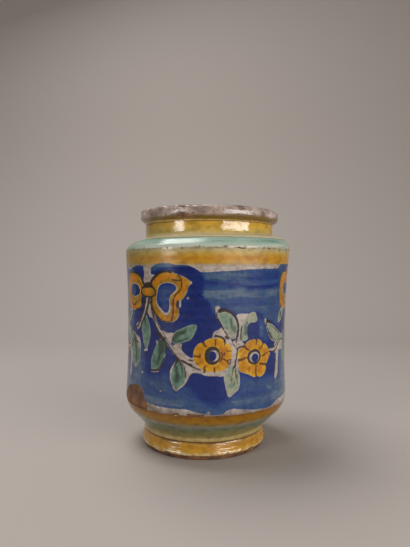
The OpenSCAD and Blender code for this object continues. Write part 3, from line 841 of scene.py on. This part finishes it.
def paint_on(piece, true, names):
    """Keeps on a piece's points how far they are from each paint named"""
    spots = wall_spots(true)
    garlands, tones, thins = zip(*[garland(spots, *bow) for bow in bows])
    paints = {name: np.min([paint[name] for paint in garlands], 0) for name in garlands[0]}
    above = spots[:, 1] - blue_edge(spots, blue_top)
    below = blue_edge(spots, blue_low) - spots[:, 1]
    paints["ground"] = np.max([-paints["white"], above, below], 0)
    closest = np.argmin([paint["leaf"] for paint in garlands], 0)
    paints["leaf_tone"] = np.choose(closest, tones)
    paints["thin"] = np.max(thins, 0)
    paints["flaked"] = flaked(spots)
    for name in names:
        keep(piece, name, paints[name])

def chipped(true):
    """The thrown wall with the flakes sunk nearly to the clay"""
    radius = polar(true)[1]
    outside = clay_line[rising(field_z - 10):rising(band_top_z)]
    front = radius > np.interp(true[:, 2], outside[:, 1], outside[:, 0]) + glaze_t / 2
    sunk = 0.42 * front * np.clip(0.4 - flaked(wall_spots(true)) / 0.7, 0, 1)
    return thrown(true * np.stack([1 - sunk / radius, 1 - sunk / radius, np.ones(len(true))], 1))

field, field_true = coat("field_glaze_painted", rising(field_z), rising(field_top_z),
                         pitch=0.68, back_pitch=26, steps=600, shape=chipped)
paint_on(field, field_true, [
    "ground", "thin", "leaf", "leaf_tone", "dark_leaf", "ribbon", "fold", "yellow", "orange", "eye", "rust",
    "brown", "flaked"])

def painted(tree, colour, paint, paint_colour, sway, soft, ragged, most=1.0):
    """Paint over a colour, inside the marks that an attribute measures. Its ragged edge sways and is soft by
    so many millimetres"""
    gap = add(tree, "Attribute", {}, "Fac", attribute_name=paint)
    edge = add(tree, "Math", {0: ragged, 1: sway, 2: gap}, operation="MULTIPLY_ADD")
    return laid_over(tree, colour, paint_colour, edge, sway / 2 + soft, sway / 2 - soft, most, "SMOOTHSTEP")

def cobalt(tree, place):
    """Cobalt blue in broad strokes: deep where it lies thick, and streaked grey-blue where white shows"""
    cloud, streak = stretched(tree, place, 11, 8, 4.0), stretched(tree, place, 22, 1.8, 4.0)
    thin = add(tree, "Attribute", {}, "Fac", attribute_name="thin")
    streaked = add(tree, "Math", {0: streak, 1: 1.0, 2: -0.2}, operation="MULTIPLY_ADD")
    uneven = add(tree, "Math", {0: thin, 1: streaked}, operation="MULTIPLY")
    grain = add(tree, "Math", {0: stretched(tree, place, 10, 6, 6.0), 1: thin}, operation="MULTIPLY")
    grained = add(tree, "Math", {0: grain, 1: 1.4, 2: uneven}, operation="MULTIPLY_ADD")
    patchy = add(tree, "Math", {0: cloud, 1: 0.22, 2: grained}, operation="MULTIPLY_ADD")
    return add(tree, "ValToRGB", {"Fac": patchy}, stops=[
        (0.04, "#021558"), (0.2, "#0a296b"), (0.42, "#213e73"), (0.66, "#304a70"), (1.0, "#4f6279")])

# Painted tin glaze: one glassy skin over all the colours. The blue goes from deep to grey where it is thin,
# yellow and green have soft clouds in them, and the brown lines lie sharp on top
def field_colour(tree, place):
    ragged, cloud = stretched(tree, place, 3.0, 3.0, 3.0), stretched(tree, place, 9, 7, 5.0)
    white = add(tree, "ValToRGB", {"Fac": cloud}, stops=[
        (0.3, "#897c74"), (0.48, "#a19690"), (0.68, "#ada49f")])
    white = laid_over(tree, white, "#6f6256", stretched(tree, place, 2.4, 2.0, 4.0), 0.56, 0.72, 0.4)
    height = wavering(tree, place, [cloud], 16)
    white = laid_over(tree, white, "#6d6158", height, 51 * MM, 46 * MM, 0.65)
    blue = cobalt(tree, place)
    colour = painted(tree, white, "ground", blue, 0.9, 0.35, ragged)
    tone = add(tree, "Attribute", {}, "Fac", attribute_name="leaf_tone")
    brushed = add(tree, "Math", {0: cloud, 1: 1.3, 2: tone}, operation="MULTIPLY_ADD")
    toned = add(tree, "Math", {0: brushed, 1: 0.62}, operation="SUBTRACT")
    green = add(tree, "ValToRGB", {"Fac": toned}, stops=[
        (0.12, "#3c5849"), (0.42, "#4f7064"), (0.7, "#728677"), (0.95, "#92937f")])
    leaf_gap = add(tree, "Attribute", {}, "Fac", attribute_name="leaf")
    edged = laid_over(tree, green, "#8e998f", leaf_gap, -1.6, 0.0, 0.45)
    leaf = painted(tree, edged, "dark_leaf", "#23362a", 1.6, 1.1, ragged, 0.9)
    colour = painted(tree, colour, "leaf", leaf, 0.6, 0.3, ragged)
    ochre = add(tree, "ValToRGB", {"Fac": cloud}, stops=[
        (0.35, "#865c00"), (0.5, "#966e06"), (0.68, "#a48022")])
    ribbon = painted(tree, ochre, "fold", "#b46e02", 1.6, 1.0, ragged, 0.9)
    colour = painted(tree, colour, "ribbon", ribbon, 0.5, 0.22, ragged)
    gold = add(tree, "ValToRGB", {"Fac": cloud}, stops=[
        (0.35, "#a97202"), (0.5, "#b68606"), (0.68, "#c09b2c")])
    petal = painted(tree, gold, "orange", "#ab6602", 2.4, 1.5, ragged, 0.7)
    colour = painted(tree, colour, "yellow", petal, 0.5, 0.22, ragged)
    colour = painted(tree, colour, "eye", blue, 0.5, 0.22, ragged)
    colour = painted(tree, colour, "rust", "#4c240a", 0.8, 0.3, ragged, 0.9)
    colour = painted(tree, colour, "brown", "#211914", 0.9, 0.28, ragged, 0.95)
    grime = add(tree, "ValToRGB", {"Fac": stretched(tree, place, 2.6, 2.6, 5.0)}, stops=[
        (0.34, "#bcb9b4"), (0.54, "#ffffff")])
    colour = add(tree, "Mix", {0: 0.65, 6: colour, 7: grime}, 2, data_type="RGBA", blend_type="MULTIPLY")
    return ringed(tree, place, colour, field_z - 0.3, 0.8, 0.25, "#734c0f", 1.1)

def field_worn(tree, place):
    """Bare clay where the glaze has flaked"""
    gap = add(tree, "Attribute", {}, "Fac", attribute_name="flaked")
    ragged = stretched(tree, place, 1.6, 1.6)
    edge = add(tree, "Math", {0: ragged, 1: 0.6, 2: gap}, operation="MULTIPLY_ADD")
    return add(tree, "MapRange", {"Value": edge, "From Min": 0.35, "From Max": 0.2})

field.data.materials.append(glazed("white tin glaze painted with a garland", field_colour, worn=field_worn))
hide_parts("field_glaze")
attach(field, "root")

# The upper band: the yellow of the neck, brushed round the top of the wall over white.
# The blue of the picture below laps its lower edge, where the yellow stops short.
upper_band, upper_true = coat("upper_band_glaze_banded", rising(field_top_z), rising(band_top_z),
                              pitch=0.6, back_pitch=3, steps=480)
paint_on(upper_band, upper_true, ["ground", "thin"])

# Antimony yellow in tin glaze: streaked level by the brush, its gloss rubbed softer than the neck's
def upper_band_colour(tree, place):
    colour = banded(tree, place, [
        (143, "#9a8d7e"), (144.7, "#9c8d76"), (145.5, "#a5802c"), (147.5, "#ac7d12"),
        (149.5, "#ad780c"), (151.5, "#ab8424"), (153.4, "#aa9049"), (155.2, "#a59668"),
        (156.4, "#8d8a6e"), (157.6, "#a7a898")], 0.35)
    # Painted shade: the yellow turns olive towards the jar's left side, away from the brighter lamp
    colour = shaded_left(tree, place, colour, -25, -66, 0.6, "#67633a")
    height = add(tree, "SeparateXYZ", {"Vector": place}, "Z")
    teal = laid_over(tree, cobalt(tree, place), "#3d5f55", height,
                     (field_top_z - 0.5) * MM, (field_top_z + 3) * MM, 0.6)
    return painted(tree, colour, "ground", teal, 0.9, 0.35, stretched(tree, place, 3.0, 3.0, 3.0))

upper_band.data.materials.append(
    glazed("antimony yellow tin glaze round the wall", upper_band_colour, (0.2, 0.36), turn_worn))
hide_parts("upper_band_glaze")
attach(upper_band, "root")

# The lower band: the same yellow at its deepest, where the wall turns under to the heel.
# Its upper edge is stained brown where the glaze above has flaked.
band_low_z = heights("lower_band_glaze")[0]
lower_band, _ = coat("lower_band_glaze_banded", rising(band_low_z), rising(field_z),
                     pitch=0.5, back_pitch=2, steps=480)

# Thick antimony yellow: deep and honey-like, with a wet gloss
def lower_band_colour(tree, place):
    return banded(tree, place, [
        (30, "#7a6c3c"), (31.5, "#8a6112"), (33.5, "#8a5f02"), (35.5, "#855800"), (36.8, "#7d530c"),
        (37.6, "#5c3d14")], 0.3)

lower_band.data.materials.append(glazed("deep yellow tin glaze", lower_band_colour))
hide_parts("lower_band_glaze")
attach(lower_band, "root")

# The heel's coat: a grey-green glaze, run thin to cream on the small ridge over the incised line.
# Dark brown has gathered in the line itself.
heel, _ = coat("heel_glaze_banded", rising(foot_z), rising(band_low_z),
               pitch=0.4, back_pitch=1.2, steps=360)

# Copper and iron in tin glaze: greyed and glassy, one colour running into the next
def heel_colour(tree, place):
    colour = banded(tree, place, [
        (foot_z, "#94814f"), (foot_z + 2.6, "#a08c5a"), (foot_z + 4.2, "#8d8357"), (foot_z + 7, "#747653"),
        (foot_z + 11, "#627055"), (foot_z + 14, "#6c715f"), (foot_z + 15.8, "#877f70"),
        (foot_z + 17, "#7f7046"), (30.8, "#7d6b38")], 0.5)
    return ringed(tree, place, colour, foot_z, 0.75, 0.35, "#4a3114", 0.2)

heel.data.materials.append(glazed("grey-green tin glaze", heel_colour))
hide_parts("heel_glaze")
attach(heel, "root")

# The foot's coat: yellow that stops short of the ground in a ragged cream edge.
# The potter wiped the glaze off the ring so that the jar wouldn't stick to the kiln shelf.
bare_z = heights("foot_glaze")[0]
foot_round_r = 50

# Chips out of its lower edge, three times round: angle in degrees, half width and depth in millimetres
foot_chips = [(-33, 3.0, 0.7), (-9, 1.6, 0.4), (21, 1.8, 0.6), (47, 3.5, 0.9), (71, 1.6, 0.5)]

def dripping(true):
    """The thrown foot with the glaze's lower edge ragged and rolled"""
    angle, radius = polar(true)
    x, y, z = true.T
    rise = -0.4 + 0.25 * np.sin(2 * angle + 1) + 0.1 * np.sin(19 * angle) * np.sin(6 * angle)
    rise = rise + 0.12 * np.sin(61 * angle) * np.sin(8 * angle)
    for at, half, most in foot_chips:
        rise = rise + most * sum(dent(angle, at + turn, half, foot_round_r) for turn in (0, 120, 240))
    roll = 0.2 * np.exp(-(((z - bare_z - 0.7) / 0.7) ** 2)) * (radius > 49.4)
    z = z + rise * np.clip((bare_z + 3.5 - z) / 3.5, 0, 1)
    grown = 1 + roll / radius
    return thrown(np.stack([x * grown, y * grown, z], 1))

foot, foot_true = coat("foot_glaze_banded", rising(bare_z), rising(foot_z),
                       pitch=0.35, back_pitch=1, steps=480, shape=dripping)
keep(foot, "up_the_coat", foot_true[:, 2])

# Thick yellow glaze: glossy in fine level ridges that break the lamps into lines, cream where it ends
def foot_colour(tree, place):
    colour = banded(tree, place, [
        (bare_z, "#aa8030"), (bare_z + 3, "#b0831f"), (foot_z - 3, "#a97819"), (foot_z - 1.2, "#a88038"),
        (foot_z, "#6a4718")], 0.4)
    up = add(tree, "Attribute", {}, "Fac", attribute_name="up_the_coat")
    drips = stretched(tree, place, 5, 7, 5.0)
    ragged = add(tree, "Math", {0: drips, 1: 9.0, 2: up}, operation="MULTIPLY_ADD")
    return laid_over(tree, colour, "#b8a67c", ragged, bare_z + 6.6, bare_z + 4.6, 0.85)

foot.data.materials.append(
    glazed("antimony yellow tin glaze on the foot", foot_colour, (0.1, 0.26), ripple=1.3, ridge=(16, 1.9)))
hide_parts("foot_glaze")
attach(foot, "root")

# The studio: a pale paper sweep that turns up behind the jar, two soft boxes in front, and one overhead
# behind it. The camera stands low and near, about two jar heights away.
sweep_front, sweep_back, sweep_high, sweep_half, sweep_turn = -1.6, 1.1, 1.8, 2.2, 0.6
bm = bmesh.new()
corners = ((sweep_front, 0), (sweep_back, 0), (sweep_back, sweep_high))
edge = [bm.verts.new((-sweep_half, y, z)) for y, z in corners]
rails = [bm.edges.new(pair) for pair in zip(edge, edge[1:])]
drawn = bmesh.ops.extrude_edge_only(bm, edges=rails)["geom"]
far_edge = [v for v in drawn if isinstance(v, bmesh.types.BMVert)]
bmesh.ops.translate(bm, vec=(2 * sweep_half, 0, 0), verts=far_edge)
fold = [e for e in bm.edges if all(abs(v.co.y - sweep_back) < 1e-6 and abs(v.co.z) < 1e-6 for v in e.verts)]
bmesh.ops.bevel(bm, geom=fold, offset=sweep_turn, offset_type="OFFSET", affect="EDGES", segments=16,
                profile=0.5, material=-1)
bmesh.ops.recalc_face_normals(bm, faces=bm.faces)
paper = bpy.data.meshes.new("paper_sweep")
bm.to_mesh(paper)
bm.free()
paper.shade_smooth()
sweep = bpy.data.objects.new("paper_sweep", paper)
bpy.context.collection.objects.link(sweep)

# Backdrop paper: even, pale and without gloss
matt_paper = bpy.data.materials.new("matt warm grey paper")
matt_paper.use_nodes = True
shader = matt_paper.node_tree.nodes["Principled BSDF"]
shader.inputs["Base Color"].default_value = linear("#a8a19d")
shader.inputs["Roughness"].default_value = 0.9
paper.materials.append(matt_paper)

def soft_box(name, bearing, reach, height, size, watts, colour):
    """A lamp at a bearing from the front, in degrees, aimed at the jar"""
    lamp = bpy.data.lights.new(name, "AREA")
    lamp.shape, lamp.size, lamp.size_y = "RECTANGLE", *size
    lamp.energy, lamp.color = watts, linear(colour)[:3]
    box = bpy.data.objects.new(name, lamp)
    turn = math.radians(bearing)
    box.location = (reach * math.sin(turn), -reach * math.cos(turn), height)
    box.rotation_euler = (Vector((0, 0, 0.14)) - box.location).to_track_quat("-Z", "Y").to_euler()
    bpy.context.collection.objects.link(box)

soft_box("right_soft_box", 47, 1.1, 0.27, size=(0.95, 0.26), watts=10.2, colour="#fff8f0")
soft_box("left_soft_box", -50, 1.1, 0.27, size=(0.33, 0.26), watts=3.8, colour="#fff8f0")
soft_box("overhead_soft_box", 235, 0.42, 1.2, size=(0.85, 0.6), watts=12.0, colour="#fbf9f6")
world = bpy.data.worlds.new("studio air")
world.use_nodes = True
air = world.node_tree.nodes["Background"]
air.inputs["Color"].default_value = linear("#f4f1ee")
air.inputs["Strength"].default_value = 0.24
bpy.context.scene.world = world

# The lens as its focal length in pixels of a picture this high
focal_px, picture_high_px = 477.5, 547
camera_data = bpy.data.cameras.new("camera")
camera_data.sensor_fit = "VERTICAL"
camera_data.sensor_height = 36
camera_data.lens = 36 * focal_px / picture_high_px
camera_data.clip_start = 0.01
camera = bpy.data.objects.new("camera", camera_data)
camera.location = (-0.001, -0.400, 0.142)
camera.rotation_euler = (math.radians(89.38), 0, 0)
bpy.context.collection.objects.link(camera)
bpy.context.scene.camera = camera
bpy.context.scene.view_settings.view_transform = "Standard"
